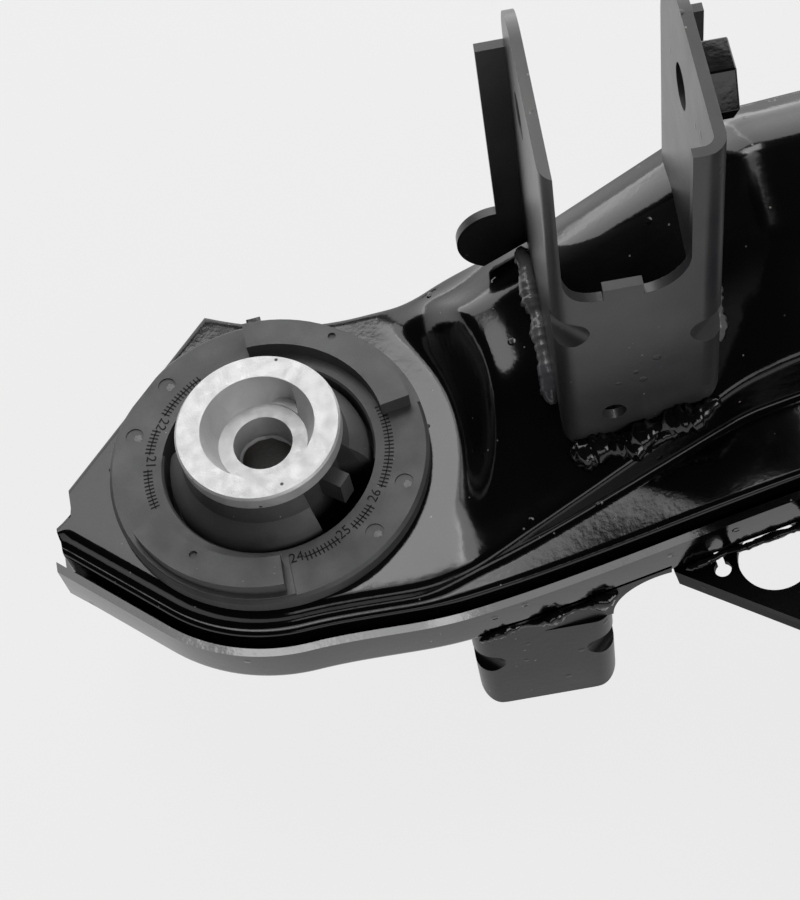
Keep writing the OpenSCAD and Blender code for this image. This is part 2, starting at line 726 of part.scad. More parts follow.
upper_shell(-1);  // left_upper_shell
upper_shell(1);  // right_upper_shell
lower_shell(-1);  // left_lower_shell
lower_shell(1);  // right_lower_shell
crossmember_upper(-1);  // front_crossmember_upper
crossmember_lower(-1);  // front_crossmember_lower
crossmember_upper(1);  // rear_crossmember_upper
crossmember_lower(1);  // rear_crossmember_lower
sleeves(-1);  // front_sleeves
sleeves(1);  // rear_sleeves
bush_can(-1, -1);  // front_left_bush_can
bush_can(1, -1);  // front_right_bush_can
bush_can(-1, 1);  // rear_left_bush_can
bush_can(1, 1);  // rear_right_bush_can
bush_rubber(-1, -1);  // front_left_bush_rubber
bush_rubber(1, -1);  // front_right_bush_rubber
bush_rubber(-1, 1);  // rear_left_bush_rubber
bush_rubber(1, 1);  // rear_right_bush_rubber
bush_core(-1, -1);  // front_left_bush_core
bush_core(1, -1);  // front_right_bush_core
bush_core(-1, 1);  // rear_left_bush_core
bush_core(1, 1);  // rear_right_bush_core
link_tower(-1, -1);  // front_left_link_tower
link_tower(1, -1);  // front_right_link_tower
link_tower(-1, 1);  // rear_left_link_tower
link_tower(1, 1);  // rear_right_link_tower
link_bracket(-1, -1);  // front_left_link_bracket
link_bracket(1, -1);  // front_right_link_bracket
link_bracket(-1, 1);  // rear_left_link_bracket
link_bracket(1, 1);  // rear_right_link_bracket
gusset(-1, -1);  // front_left_gusset
gusset(1, -1);  // front_right_gusset
gusset(-1, 1);  // rear_left_gusset
gusset(1, 1);  // rear_right_gusset
tower_weld_nuts();
bracket_weld_nuts();
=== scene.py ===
"""Looks of the axle subframe: gloss black pressings with welds, grey rubber bushes and cast cores."""

import math

import bmesh
import bpy
import numpy as np
from mathutils import Matrix, Vector


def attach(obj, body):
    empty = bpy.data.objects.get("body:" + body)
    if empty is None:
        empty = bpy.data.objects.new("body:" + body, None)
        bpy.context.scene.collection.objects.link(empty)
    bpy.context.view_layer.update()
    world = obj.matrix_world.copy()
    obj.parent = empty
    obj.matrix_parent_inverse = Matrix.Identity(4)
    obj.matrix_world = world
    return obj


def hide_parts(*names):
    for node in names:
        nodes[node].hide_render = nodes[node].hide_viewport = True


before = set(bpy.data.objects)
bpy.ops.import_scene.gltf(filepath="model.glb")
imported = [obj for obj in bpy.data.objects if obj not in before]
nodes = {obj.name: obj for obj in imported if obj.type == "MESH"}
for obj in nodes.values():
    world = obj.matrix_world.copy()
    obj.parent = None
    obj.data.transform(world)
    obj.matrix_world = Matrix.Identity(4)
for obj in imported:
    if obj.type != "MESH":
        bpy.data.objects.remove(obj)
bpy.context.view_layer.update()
scene = bpy.context.scene

# Metres in a millimetre
MM = 0.001

# Values repeated from the part's source: sizes in millimetres, turns in radians, tilt and easing as ratios
BUSH_X = 400.0
BUSH_Y = 370.0
SEAT = 77.0
SHEET = 2.5
RAIL_IN = 58.0
RAIL_OUT = 45.5
NOSE_IN = 55.0
NOSE_OUT = 50.5
EAR_OUT = 60.0
TIP = 67.0
TRAY_PAST = 4.0
CROWN = 48.0
CROWN_TILT = 0.29
STEP_H = 11.0
STEP_R = 57.0
HUMP_IN = 40.0
HUMP_OUT = (20.0, 45.0)
RAMP = (45.0, 160.0, 0.12)
LEDGE_DROP = 4.0
LEDGE_W = 1.8
LEDGE_GAIN = 21.0
LEDGE_SPREAD = (32.0, 143.0, 0.1)
LIP_DROP = 5.0
TRAY_H = 16.0
TRAY_R = 5.0
TRAY_RISE = 30.0
TRAY_CLIMB = (30.0, 190.0)
GROOVE = 2.0
EDGE = 1.2
WALL_RUN = 2.0
CAN_R = 37.2
NECK = 48.0
DIAG = math.sqrt(2)
EAR_R = EAR_OUT - NOSE_OUT * DIAG
MIN_CROWN = 0.4
SEAT_GAP = 0.2
FLANGE_TOP = 5.0
PAD_TOP = 10.5
BORE_R = 9.0
TOWER_R = 108.0
TOWER_V = 31.0
TOWER_TURN = math.radians(5)
TOWER_HALF = 22.5
FOOT_R = 67.5
FOOT_HALF = 21.75
FOOT_TURN = math.radians(4.5)
FOOT_V = RAIL_IN + GROOVE + SHEET
GUSSET_FROM = 108.0
GUSSET_TO = 195.0
CROSS_Y = 135.0
CROSS_HALF = 40.0
CROSS_LOW = 82.0
CROSS_TOP = 116.0
CROSS_SEAM = 95.6
SLEEVE_X = 100.0
SLEEVE_R = 13.0

# Values of the pressings that only this scene has: sizes in millimetres, the roll's share at the skirt
STEP_RUN = 14.5
CREST_RISE = 2.4
CREST_R = 69.5
CREST_WIDE = 7.5
ROLL_DROP = 4.0
ROLL_WIDE = 10.0
ROLL_SPAN = (60.0, 95.0)
ROLL_SKIRT = 1.2
RIDGE_RUN = 5.0
SKIRT_BEND = 2.2
LEDGE_BEND = 2.4
RIDGE_BEND = 3.0
EDGE_BEND = 2.6
EDGE_FALL = 0.15
TRAY_BEND = 3.0
TIP_PAST = 0.6
TIP_DROP = 12.0
TIP_SPAN = (57.0, 62.0)

# Least widths where the nose runs out, measured from its inboard edge, and the gap between points there
LEAST_SKIRT = 1.0
LEAST_EDGE = 0.8
LEAST_CROWN = 0.5
LEAST_APART = 0.1

CORNERS = [("front_left", -1, -1), ("front_right", 1, -1), ("rear_left", -1, 1), ("rear_right", 1, 1)]


def clamp01(x):
    return np.clip(x, 0.0, 1.0)


def smooth(a, b, x):
    t = clamp01((x - a) / (b - a))
    return t * t * (3 - 2 * t)


def ease(a, b, e, x):
    t = clamp01((x - a) / (b - a))
    end = 1 - e - (1 - t) ** 2 / (2 * e)
    return np.where(t < e, t * t / (2 * e), np.where(t > 1 - e, end, t - e / 2)) / (1 - e)


def mix(a, b, t):
    return a + (b - a) * t


def edge_in(r, o):
    """Inboard edge of a rail in plan, r from the bush axis towards the middle, o inside the outline."""
    q = NOSE_IN - o
    w = RAIL_IN - o
    if r < -q / DIAG:
        return q * DIAG + r
    if r < 0:
        return math.sqrt(q * q - r * r)
    return float(mix(q, w, smooth(0, NECK, r)))


def edge_out(r, o):
    """Outboard edge of a rail in plan, as a distance from the bush axis, with the ear of the nose."""
    left = 1 - float(clamp01((r - EAR_R) / NECK))
    return min((NOSE_OUT - o) * DIAG + r, RAIL_OUT - o + (EAR_OUT - RAIL_OUT) * left * left)


def ledge_z(r):
    return float(TRAY_RISE * smooth(*TRAY_CLIMB, r)) - LEDGE_DROP


def lip_z(r):
    return ledge_z(r) - LIP_DROP


def floor_z(r):
    return lip_z(r) - TRAY_H


def crown(r, v):
    """Height of the upper pressing over the seat, with the step beside the bush and its crest."""
    hump = (1 - smooth(0, HUMP_IN, v)) * (1 - smooth(*HUMP_OUT, -v))
    rise = (CROWN - CROWN_TILT * v) * ease(*RAMP, r) + STEP_H * hump
    far = np.hypot(r, v)
    crest = CREST_RISE * hump * np.exp(-(((far - CREST_R) / CREST_WIDE) ** 2))
    return np.where(r > 0, smooth(STEP_R, STEP_R + STEP_RUN, far) * (rise + crest), 0.0)


def ledge_width(r):
    return LEDGE_W + LEDGE_GAIN * float(ease(*LEDGE_SPREAD, r))


def to_world(points, sx, sy):
    """World points in metres of a corner's points: inboard, towards the middle and above the seat."""
    p = np.asarray(points, float).reshape(-1, 3)
    return np.column_stack([sx * (BUSH_X - p[:, 0]), sy * (BUSH_Y - p[:, 1]), SEAT + p[:, 2]]) * MM


SHARP = 35.0


def add_piece(name, verts, faces, material, sharp=SHARP):
    mesh = bpy.data.meshes.new(name)
    mesh.from_pydata([tuple(v) for v in verts], [], faces)
    mesh.validate()
    mesh.update()
    piece = bpy.data.objects.new(name, mesh)
    scene.collection.objects.link(piece)
    mesh.materials.append(material)
    mesh.shade_smooth()
    mesh.set_sharp_from_angle(angle=math.radians(sharp))
    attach(piece, "root")
    return piece


def flipped(faces, flip):
    return [tuple(reversed(f)) for f in faces] if flip else [tuple(f) for f in faces]


# Materials
def new_material(name):
    material = bpy.data.materials.new(name)
    material.use_nodes = True
    tree = material.node_tree
    tree.nodes.clear()
    out = tree.nodes.new("ShaderNodeOutputMaterial")
    shader = tree.nodes.new("ShaderNodeBsdfPrincipled")
    tree.links.new(shader.outputs["BSDF"], out.inputs["Surface"])
    return material, tree, shader


def node(tree, kind, **values):
    made = tree.nodes.new(kind)
    for key, value in values.items():
        if key in made.inputs:
            made.inputs[key].default_value = value
        else:
            setattr(made, key, value)
    return made


def noise(tree, coords, scale, detail=2.0, rough=0.5):
    made = node(tree, "ShaderNodeTexNoise")
    made.inputs["Scale"].default_value = scale
    made.inputs["Detail"].default_value = detail
    made.inputs["Roughness"].default_value = rough
    tree.links.new(coords.outputs["Object"], made.inputs["Vector"])
    return made.outputs["Fac"]


def band(tree, source, low, high, out_low=0.0, out_high=1.0):
    made = node(tree, "ShaderNodeMapRange")
    made.inputs["From Min"].default_value = low
    made.inputs["From Max"].default_value = high
    made.inputs["To Min"].default_value = out_low
    made.inputs["To Max"].default_value = out_high
    tree.links.new(source, made.inputs["Value"])
    return made.outputs["Result"]


def times(tree, a, b):
    made = node(tree, "ShaderNodeMath", operation="MULTIPLY")
    tree.links.new(a, made.inputs[0])
    if isinstance(b, float):
        made.inputs[1].default_value = b
    else:
        tree.links.new(b, made.inputs[1])
    return made.outputs[0]


def blend_colour(tree, factor, first, second):
    made = node(tree, "ShaderNodeMix", data_type="RGBA")
    tree.links.new(factor, made.inputs["Factor"])
    for socket, value in ((made.inputs[6], first), (made.inputs[7], second)):
        if isinstance(value, tuple):
            socket.default_value = (*value, 1.0)
        else:
            tree.links.new(value, socket)
    return made.outputs[2]


def bump(tree, height, strength, distance, normal=None):
    made = node(tree, "ShaderNodeBump")
    made.inputs["Strength"].default_value = strength
    made.inputs["Distance"].default_value = distance
    tree.links.new(height, made.inputs["Height"])
    if normal is not None:
        tree.links.new(normal, made.inputs["Normal"])
    return made.outputs["Normal"]


def specks(tree, coords, scale, size, share):
    cells = node(tree, "ShaderNodeTexVoronoi")
    cells.inputs["Scale"].default_value = scale
    tree.links.new(coords.outputs["Object"], cells.inputs["Vector"])
    near = band(tree, cells.outputs["Distance"], size, size * 0.6)
    split = node(tree, "ShaderNodeSeparateColor")
    tree.links.new(cells.outputs["Color"], split.inputs["Color"])
    picked = band(tree, split.outputs["Red"], share, share - 0.01)
    return times(tree, near, picked)


def paint_material(name, rough, dusty, tone=1.0, ior=1.5):
    material, tree, shader = new_material(name)
    coords = node(tree, "ShaderNodeTexCoord")
    dust = specks(tree, coords, 420.0, 0.16, dusty)
    clouds = band(tree, noise(tree, coords, 22.0, 4.0, 0.6), 0.35, 0.7)
    dark = tuple(tone * c for c in (0.0016, 0.0016, 0.0018))
    light = tuple(tone * c for c in (0.0032, 0.0031, 0.0030))
    base = blend_colour(tree, clouds, dark, light)
    colour = blend_colour(tree, dust, base, (0.24, 0.22, 0.2))
    tree.links.new(colour, shader.inputs["Base Color"])
    spots = band(tree, noise(tree, coords, 60.0, 3.0, 0.6), 0.3, 0.75, rough, rough + 0.05)
    tree.links.new(spots, shader.inputs["Roughness"])
    waves = bump(tree, noise(tree, coords, 45.0, 1.0), 0.10, 0.002)
    peel = bump(tree, noise(tree, coords, 420.0, 2.0), 0.06, 0.0006, waves)
    lumps = bump(tree, specks(tree, coords, 160.0, 0.2, 0.10), 0.3, 0.0004, peel)
    tree.links.new(lumps, shader.inputs["Normal"])
    shader.inputs["IOR"].default_value = ior
    return material


def rubber_material(name, tone):
    material, tree, shader = new_material(name)
    coords = node(tree, "ShaderNodeTexCoord")
    smear = band(tree, noise(tree, coords, 38.0, 5.0, 0.65), 0.42, 0.72)
    base = blend_colour(tree, smear, tuple(0.85 * c for c in tone), tuple(1.35 * c for c in tone))
    dust = specks(tree, coords, 520.0, 0.12, 0.06)
    colour = blend_colour(tree, dust, base, (0.3, 0.29, 0.28))
    tree.links.new(colour, shader.inputs["Base Color"])
    sheen = band(tree, noise(tree, coords, 90.0, 3.0), 0.3, 0.7, 0.42, 0.58)
    tree.links.new(sheen, shader.inputs["Roughness"])
    grain = bump(tree, noise(tree, coords, 1800.0, 3.0, 0.6), 0.12, 0.0003)
    waves = bump(tree, noise(tree, coords, 110.0, 2.0), 0.08, 0.001, grain)
    tree.links.new(waves, shader.inputs["Normal"])
    return material


def alloy_material(name):
    material, tree, shader = new_material(name)
    coords = node(tree, "ShaderNodeTexCoord")
    mottle = band(tree, noise(tree, coords, 130.0, 5.0, 0.7), 0.3, 0.72)
    base = blend_colour(tree, mottle, (0.53, 0.53, 0.53), (0.60, 0.60, 0.60))
    pits = specks(tree, coords, 330.0, 0.22, 0.05)
    colour = blend_colour(tree, pits, base, (0.06, 0.055, 0.05))
    tree.links.new(colour, shader.inputs["Base Color"])
    shader.inputs["Metallic"].default_value = 0.55
    sheen = band(tree, noise(tree, coords, 300.0, 3.0), 0.3, 0.7, 0.42, 0.6)
    tree.links.new(sheen, shader.inputs["Roughness"])
    grain = bump(tree, noise(tree, coords, 1500.0, 4.0, 0.7), 0.25, 0.0004)
    dents = bump(tree, pits, -0.6, 0.0006, grain)
    tree.links.new(dents, shader.inputs["Normal"])
    return material


def plain_material(name, colour, rough, shine=0.5):
    material, tree, shader = new_material(name)
    coords = node(tree, "ShaderNodeTexCoord")
    worn = band(tree, noise(tree, coords, 700.0, 3.0), 0.35, 0.7)
    tone = blend_colour(tree, worn, colour, tuple(1.6 * c + 0.004 for c in colour))
    tree.links.new(tone, shader.inputs["Base Color"])
    shader.inputs["Roughness"].default_value = rough
    shader.inputs["Specular IOR Level"].default_value = shine
    return material


paint = paint_material("gloss_black_paint", rough=0.10, dusty=0.05)
paint_dusty = paint_material("dusty_black_paint", rough=0.10, dusty=0.16, tone=2.0)
# The towers' black paint is made eighteen times lighter: painted reflection, standing in for the grey sheen
# that their webs catch
paint_satin_lightened = paint_material("satin_black_paint_lightened", rough=0.30, dusty=0.10, tone=18.0)
paint_bracket = paint_material("bracket_black_paint", rough=0.30, dusty=0.10, tone=2.0, ior=1.32)
paint_tray = paint_material("tray_black_paint", rough=0.08, dusty=0.06, ior=1.6)
paint_dull = paint_material("dull_black_paint", rough=0.40, dusty=0.05, ior=1.12)
weld_paint = paint_material("painted_weld", rough=0.10, dusty=0.10, tone=2.0)
weld_pale = paint_material("pale_weld", rough=0.22, dusty=0.25, tone=50.0)
rubber = rubber_material("satin_rubber", (0.065, 0.065, 0.067))
# The dome's rubber is a lighter copy of the bushes' rubber: painted light on the dome where the core's head
# shades it
dome_rubber_lightened = rubber_material("dome_rubber_lightened", (0.085, 0.083, 0.083))
alloy = alloy_material("blasted_alloy")
scale_ink = plain_material("moulded_mark", (0.002, 0.002, 0.002), rough=0.5, shine=0.15)
# Pale grey for the small patches beside the round marks in the flange
pale_mark = plain_material("pale_patch", (0.12, 0.12, 0.12), rough=0.5)
# Dark brown for a sheet inside each bore: painted shade, standing in for the dark that is seen down the
# bore
shade_colour = plain_material("bore_shade_colour", (0.035, 0.027, 0.02), rough=0.55)


# Pressed shells
def rounded(points, radii, steps=5):
    """Polyline with its corners replaced by curves that start at most the given radius before them."""
    pts = [np.asarray(p, float) for p in points]
    out = [pts[0]]
    for i in range(1, len(pts) - 1):
        before = pts[i - 1] - pts[i]
        after = pts[i + 1] - pts[i]
        reach = min(radii[i], 0.48 * np.linalg.norm(before), 0.48 * np.linalg.norm(after))
        if reach < 1e-6:
            out.append(pts[i])
            continue
        a = pts[i] + before / np.linalg.norm(before) * reach
        b = pts[i] + after / np.linalg.norm(after) * reach
        for k in range(steps):
            t = k / (steps - 1)
            out.append((1 - t) ** 2 * a + 2 * t * (1 - t) * pts[i] + t * t * b)
    out.append(pts[-1])
    return out


CROWN_POINTS = 72

# Cut-out of the nose: distances along the rail and the limits across it
NOTCH_R = (-69.0, -65.0, -62.8, -62.4)
NOTCH_V = (4.2, 1.5, -0.5, -3.0)
NOTCH_STATIONS = (-62.8, -62.41, -62.39)

# Part of a rail that gets the closest sections
STEP_FROM = 40.0
RAMP_PAST = 175.0


def notch_v(r):
    """Outboard limit of the upper pressing, which the cut-out moves inboard at the tip of the nose."""
    return float(np.interp(r, NOTCH_R, NOTCH_V)) if r < NOTCH_R[-1] else -EAR_OUT


def upper_section(r, o):
    """Section of the upper pressing from its inboard skirt over the crown, o inside its outer skin."""
    a = edge_in(r, o)
    far = o + EDGE + ledge_width(r)
    b = min(max(-edge_out(r, o), notch_v(r) + o), a - LEAST_SKIRT)
    top = min(max(-edge_out(r, o + EDGE), notch_v(r) + o + EDGE), a - LEAST_EDGE)
    low = min(top + MIN_CROWN, a - LEAST_CROWN)
    zl = ledge_z(r) - o
    foot = floor_z(r) + SHEET + max(0.0, TRAY_R - GROOVE) + SEAT_GAP
    inner = max(edge_in(r, far), low + 2 * LEAST_APART)
    ridge = max(edge_in(r, far + WALL_RUN), low + LEAST_APART)
    rise = max(edge_in(r, far + WALL_RUN + RIDGE_RUN), low)
    crown_v = np.linspace(rise, top, CROWN_POINTS)
    roll = ROLL_DROP * float(smooth(*ROLL_SPAN, r))
    crown_z = crown(r, crown_v) - o - roll * clamp01((top + ROLL_WIDE - crown_v) / ROLL_WIDE) ** 2
    first = float(crown(r, ridge)) - o
    head = [(a, foot), (a, zl), (inner, zl), (ridge, first)] + list(zip(crown_v, crown_z))
    tail = [(b, float(crown(r, b)) - EDGE_FALL - o - ROLL_SKIRT * roll), (b, foot)]
    radii = [0, SKIRT_BEND, LEDGE_BEND, RIDGE_BEND] + [0] * CROWN_POINTS + [EDGE_BEND, 0]
    return rounded(head + tail, radii)


def lower_section(r, o):
    """Section of the lower pressing from wall to wall, o inside its outer skin."""
    out = o - GROOVE - SHEET
    z = floor_z(r) + o
    a = edge_in(r, out)
    b = -edge_out(r, out)
    mid = [(mix(a, b, t), z) for t in np.linspace(0.18, 0.82, 9)]
    end = lip_z(r) - TIP_DROP * float(smooth(*TIP_SPAN, -r))
    points = [(a, lip_z(r)), (a, z)] + mid + [(b, z), (b, end)]
    bend = max(0.5, TRAY_BEND - o)
    radii = [0, bend] + [0] * len(mid) + [bend, 0]
    return rounded(points, radii, 8)


def skin(sections_out, sections_in):
    """Closed sheet between two skins of sections, as points and faces."""
    rings = len(sections_out)
    n = len(sections_out[0])
    verts = [p for ring in sections_out for p in ring] + [p for ring in sections_in for p in ring]
    base = rings * n
    faces = []
    for i in range(rings - 1):
        for j in range(n - 1):
            p = i * n + j
            faces.append((p, p + 1, p + n + 1, p + n))
            q = base + p
            faces.append((q, q + n, q + n + 1, q + 1))
        p = i * n
        faces.append((p, p + n, base + p + n, base + p))
        q = i * n + n - 1
        faces.append((q, base + q, base + q + n, q + n))
    last = (rings - 1) * n
    for j in range(n - 1):
        faces.append((j, base + j, base + j + 1, j + 1))
        p = last + j
        faces.append((p, p + 1, base + p + 1, base + p))
    return verts, faces


def stations(tip):
    """Distances along a rail at which it gets a section, closest where its form changes most."""
    half = np.unique(np.concatenate([
        NOTCH_STATIONS,
        np.linspace(-tip, -NOSE_IN / DIAG, 16)[:-1],
        np.linspace(-NOSE_IN / DIAG, STEP_FROM, 44)[:-1],
        np.linspace(STEP_FROM, RAMP_PAST, 106)[:-1],
        np.linspace(RAMP_PAST, BUSH_Y, 18),
    ]))
    return np.concatenate([half, 2 * BUSH_Y - half[-2::-1]])


def rail_points(section, tip, o):
    rings = []
    for y in stations(tip):
        r = min(y, 2 * BUSH_Y - y)
        rings.append([(p[0], y, p[1]) for p in section(r, o)])
    return rings


def cutter(name, loops):
    """Joined prisms that are cut out of a piece: each is an outline in plan, from one height to another."""
    bm = bmesh.new()
    for outline, low, high in loops:
        bottom = [bm.verts.new((x, y, low)) for x, y in outline]
        top = [bm.verts.new((x, y, high)) for x, y in outline]
        bm.faces.new(list(reversed(bottom)))
        bm.faces.new(top)
        count = len(outline)
        for k in range(count):
            m = (k + 1) % count
            bm.faces.new((bottom[k], bottom[m], top[m], top[k]))
    bmesh.ops.recalc_face_normals(bm, faces=bm.faces)
    mesh = bpy.data.meshes.new(name)
    bm.to_mesh(mesh)
    bm.free()
    return bpy.data.objects.new(name, mesh)


def cut_away(piece, tool):
    scene.collection.objects.link(tool)
    change = piece.modifiers.new("cut", "BOOLEAN")
    change.operation = "DIFFERENCE"
    change.solver = "EXACT"
    change.object = tool
    bpy.context.view_layer.update()
    graph = bpy.context.evaluated_depsgraph_get()
    mesh = bpy.data.meshes.new_from_object(piece.evaluated_get(graph))
    piece.modifiers.clear()
    piece.data = mesh
    mesh.shade_smooth()
    mesh.set_sharp_from_angle(angle=math.radians(SHARP))
    bpy.data.objects.remove(tool)


def circle(cx, cy, radius, count=72):
    turns = [2 * math.pi * k / count for k in range(count)]
    return [(cx + radius * math.cos(t), cy + radius * math.sin(t)) for t in turns]


def plan_world(outline, sx, sy):
    return [tuple(p[:2]) for p in to_world([(v, r, 0) for v, r in outline], sx, sy)]


for side, sx in (("left", -1), ("right", 1)):
    outer = rail_points(upper_section, TIP + TIP_PAST, 0.0)
    inner = rail_points(upper_section, TIP + TIP_PAST, SHEET)
    verts, faces = skin(outer, inner)
    points = to_world(verts, sx, -1)
    shell = add_piece(f"{side}_upper_pressing", points, flipped(faces, sx > 0), paint)
    loops = []
    for sy in (-1, 1):
        holes = plan_world(circle(0, 0, CAN_R), sx, sy)
        loops.append((holes, (SEAT - 20) * MM, (SEAT + 20) * MM))
    cut_away(shell, cutter("upper_cut", loops))
    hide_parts(f"{side}_upper_shell")
    outer = rail_points(lower_section, TIP + TRAY_PAST, 0.0)
    inner = rail_points(lower_section, TIP + TRAY_PAST, SHEET)
    verts, faces = skin(inner, outer)
    points = to_world(verts, sx, -1)
    tray = add_piece(f"{side}_lower_pressing", points, flipped(faces, sx > 0), paint_tray)
    loops = [(plan_world(circle(0, 0, CAN_R), sx, sy), (SEAT - 60) * MM, SEAT * MM) for sy in (-1, 1)]
    cut_away(tray, cutter("lower_cut", loops))
    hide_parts(f"{side}_lower_shell")


# Folded, turned and moulded pieces: the solids with their edges rounded
def even_shading(piece):
    """Normals that keep large flat faces flat beside their rounded edges."""
    shading = piece.modifiers.new("even", "WEIGHTED_NORMAL")
    shading.keep_sharp = True


def dressed(name, material, width, segments=2, cuts=None):
    """Copy of a node with rounded edges that takes its place, cut first where cuts are given."""
    source = nodes[name]
    bm = bmesh.new()
    bm.from_mesh(source.data)
    bmesh.ops.remove_doubles(bm, verts=bm.verts, dist=2e-6)
    bmesh.ops.dissolve_limit(bm, angle_limit=math.radians(0.6), verts=bm.verts, edges=bm.edges)
    mesh = bpy.data.meshes.new(f"{name}_dressed")
    bm.to_mesh(mesh)
    bm.free()
    piece = bpy.data.objects.new(f"{name}_dressed", mesh)
    scene.collection.objects.link(piece)
    mesh.materials.clear()
    mesh.materials.append(material)
    mesh.shade_smooth()
    if cuts:
        cut_away(piece, cutter("trims", cuts))
    round_off = piece.modifiers.new("rounded", "BEVEL")
    round_off.width = width * MM
    round_off.segments = segments
    round_off.limit_method = "ANGLE"
    round_off.angle_limit = math.radians(32)
    even_shading(piece)
    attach(piece, "root")
    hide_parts(name)
    return piece


# Shallow recesses in the rubber: distance from the bush axis and angle of each
EJECTORS = [(43.0, 217.8), (43.0, 244.5), (43.0, 62.1), (43.0, 37.4)]
DIMPLES = [(43.0, 140.8), (40.0, 318.2)]
EJECTOR_R = 2.8
EJECTOR_DEPTH = 0.35
DIMPLE_R = 1.25
DIMPLE_DEPTH = 0.8


def polar(rho, degrees):
    turn = math.radians(degrees)
    return rho * math.cos(turn), rho * math.sin(turn)


# Tall pad as it is narrowed, with the rings that are cut away beside it, and the flat on the flange
PAD_IN = 36.9
PAD_OUT = 46.0
PAD_CUT_IN = 34.0
PAD_CUT_OUT = 52.0
PAD_TURNS = (92.0, 184.0)
FLAT_AT = 47.6
FLAT_TURN = 225.0
FLAT_HALF = 40
FLAT_DEPTH = 15


def sector(inner, outer, turns, steps=24):
    angles = np.linspace(*turns, steps)
    return [polar(outer, t) for t in angles] + [polar(inner, t) for t in reversed(angles)]


def flat_outline():
    """Plan of what a flat across the flange takes away, along the slanted end of the nose."""
    out = np.asarray(polar(1.0, FLAT_TURN))
    along = np.asarray(polar(1.0, FLAT_TURN + 90))
    past = FLAT_AT + FLAT_DEPTH
    ends = [(FLAT_AT, -FLAT_HALF), (FLAT_AT, FLAT_HALF), (past, FLAT_HALF), (past, -FLAT_HALF)]
    return [tuple(a * out + b * along) for a, b in ends]


def trims(sx, sy):
    """Cuts that narrow the tall pad and take the flat off the flange."""
    over = ((SEAT + FLANGE_TOP + 0.02) * MM, (SEAT + PAD_TOP + 1) * MM)
    whole = ((SEAT - 1) * MM, (SEAT + PAD_TOP + 1) * MM)
    return [
        (plan_world(sector(PAD_OUT, PAD_CUT_OUT, PAD_TURNS), sx, sy), *over),
        (plan_world(sector(PAD_CUT_IN, PAD_IN, PAD_TURNS), sx, sy), *over),
        (plan_world(flat_outline(), sx, sy), *whole),
    ]


def recesses(sx, sy):
    """Cuts for the round marks in the flange and the small dimples in the pads."""
    cuts = [(polar(*at), EJECTOR_R, FLANGE_TOP, EJECTOR_DEPTH) for at in EJECTORS]
    cuts += [(polar(*at), DIMPLE_R, PAD_TOP, DIMPLE_DEPTH) for at in DIMPLES]
    loops = []
    for (v, r), radius, top, depth in cuts:
        outline = plan_world(circle(v, r, radius, 28), sx, sy)
        loops.append((outline, (SEAT + top - depth) * MM, (SEAT + top + 1) * MM))
    return loops


for corner, sx, sy in CORNERS:
    dressed(f"{corner}_link_tower", paint_satin_lightened, width=0.5)
    dressed(f"{corner}_link_bracket", paint_bracket, width=0.5)
    dressed(f"{corner}_gusset", paint_dull, width=0.5)
    dressed(f"{corner}_bush_can", paint, width=0.4)
    moulded = dressed(
        f"{corner}_bush_rubber", rubber, width=0.7, segments=3, cuts=trims(sx, sy)
    )
    cut_away(moulded, cutter("marks", recesses(sx, sy)))
    even_shading(moulded)
    dressed(f"{corner}_bush_core", alloy, width=0.4)
for end in ("front", "rear"):
    dressed(f"{end}_crossmember_upper", paint_dusty, width=0.4)
    dressed(f"{end}_crossmember_lower", paint_dusty, width=0.4)
    dressed(f"{end}_sleeves", paint, width=0.5)
dressed("tower_weld_nuts", paint, width=0.6)
dressed("bracket_weld_nuts", paint, width=0.6)

# Weld beads
BEAD_STEP = 0.9
BEAD_SIDES = 9
SCALLOP = 2.6
UPRIGHT = (0.0, 0.0, 1.0)


def slow_noise(rng, count, span):
    """Random values that change slowly: one draw every few stations, joined smoothly."""
    knots = rng.uniform(-1, 1, count // span + 3)
    at = np.arange(count) / span
    low = at.astype(int)
    t = at - low
    return mix(knots[low], knots[low + 1], t * t * (3 - 2 * t))


def bead(path, radius, seed, rough=0.15, reference=UPRIGHT):
    """Lumpy tube of weld along a path, as points and faces."""
    rng = np.random.default_rng(seed)
    path = np.asarray(path, float)
    run = np.concatenate([[0], np.cumsum(np.linalg.norm(np.diff(path, axis=0), axis=1))])
    count = max(8, int(run[-1] / BEAD_STEP))
    at = np.linspace(0, run[-1], count)
    line = np.column_stack([np.interp(at, run, path[:, k]) for k in range(3)])
    along = np.gradient(line, axis=0)
    along /= np.linalg.norm(along, axis=1)[:, None]
    across = np.cross(along, reference)
    across /= np.linalg.norm(across, axis=1)[:, None]
    up = np.cross(across, along)
    size = radius * (0.78 + 0.22 * np.sqrt(np.abs(np.sin(np.pi * at / SCALLOP))))
    size = size * (1 + rough * slow_noise(rng, count, 5))
    size = size * np.sqrt(clamp01(0.1 + np.minimum(at, run[-1] - at) / (1.5 * radius)))
    line = line + across * (rough * radius * slow_noise(rng, count, 7))[:, None]
    turns = 2 * np.pi * np.arange(BEAD_SIDES) / BEAD_SIDES
    lumps = 1 + 0.5 * rough * rng.uniform(-1, 1, (count, BEAD_SIDES))
    reach = (size[:, None] * lumps)[:, :, None]
    spokes = np.cos(turns)[None, :, None] * across[:, None] + np.sin(turns)[None, :, None] * up[:, None]
    verts = (line[:, None] + reach * spokes).reshape(-1, 3)
    faces = []
    for i in range(count - 1):
        for k in range(BEAD_SIDES):
            p = i * BEAD_SIDES + k
            q = i * BEAD_SIDES + (k + 1) % BEAD_SIDES
            faces.append((p, p + BEAD_SIDES, q + BEAD_SIDES, q))
    faces.append(tuple(range(BEAD_SIDES)))
    last = (count - 1) * BEAD_SIDES
    faces.append(tuple(last + k for k in reversed(range(BEAD_SIDES))))
    return verts, faces


